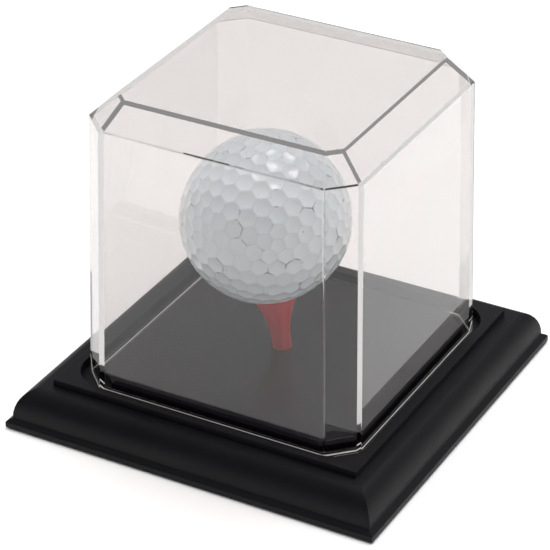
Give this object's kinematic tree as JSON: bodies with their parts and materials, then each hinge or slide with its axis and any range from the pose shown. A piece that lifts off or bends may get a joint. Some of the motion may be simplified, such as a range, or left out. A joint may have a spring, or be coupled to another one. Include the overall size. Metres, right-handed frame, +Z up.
{
  "type": "golf ball display case",
  "caption": "Small square display case: a clear bevelled lift-off cover over a golf ball on a red tee, on a black moulded plinth.",
  "frame": {"origin": "centre of the plan, on the surface that the rubber feet stand on", "axes": "+Z up out of the cover's top, +X to the right and +Y to the back, each square to a side of the plinth"},
  "size_m": [0.1034, 0.1034, 0.089],
  "materials": {
    "clear_acrylic": "clear injection-moulded acrylic, polished",
    "plinth_black": "satin black moulded polystyrene",
    "deck_black": "semi-gloss black moulded plate",
    "tee_red": "red moulded plastic, semi-gloss",
    "ball_white": "white dimpled golf ball cover, lightly marked",
    "foot_rubber": "black rubber"
  },
  "bodies": {
    "plinth": {"base_plinth": "plinth_black", "display_deck": "deck_black", "golf_tee": "tee_red", "foot_front_left": "foot_rubber", "foot_front_right": "foot_rubber", "foot_back_left": "foot_rubber", "foot_back_right": "foot_rubber"},
    "cover": {"clear_cover": "clear_acrylic"},
    "ball": {"golf_ball": "ball_white"}
  },
  "joints": [
    {"name": "cover_lift", "type": "slide", "parent": "plinth", "child": "cover", "axis": [0, 0, 1], "range_m": [0, 0.065]},
    {"name": "ball_lift", "type": "slide", "parent": "plinth", "child": "ball", "axis": [0, 0, 1], "range_m": [0, 0.014]}
  ]
}
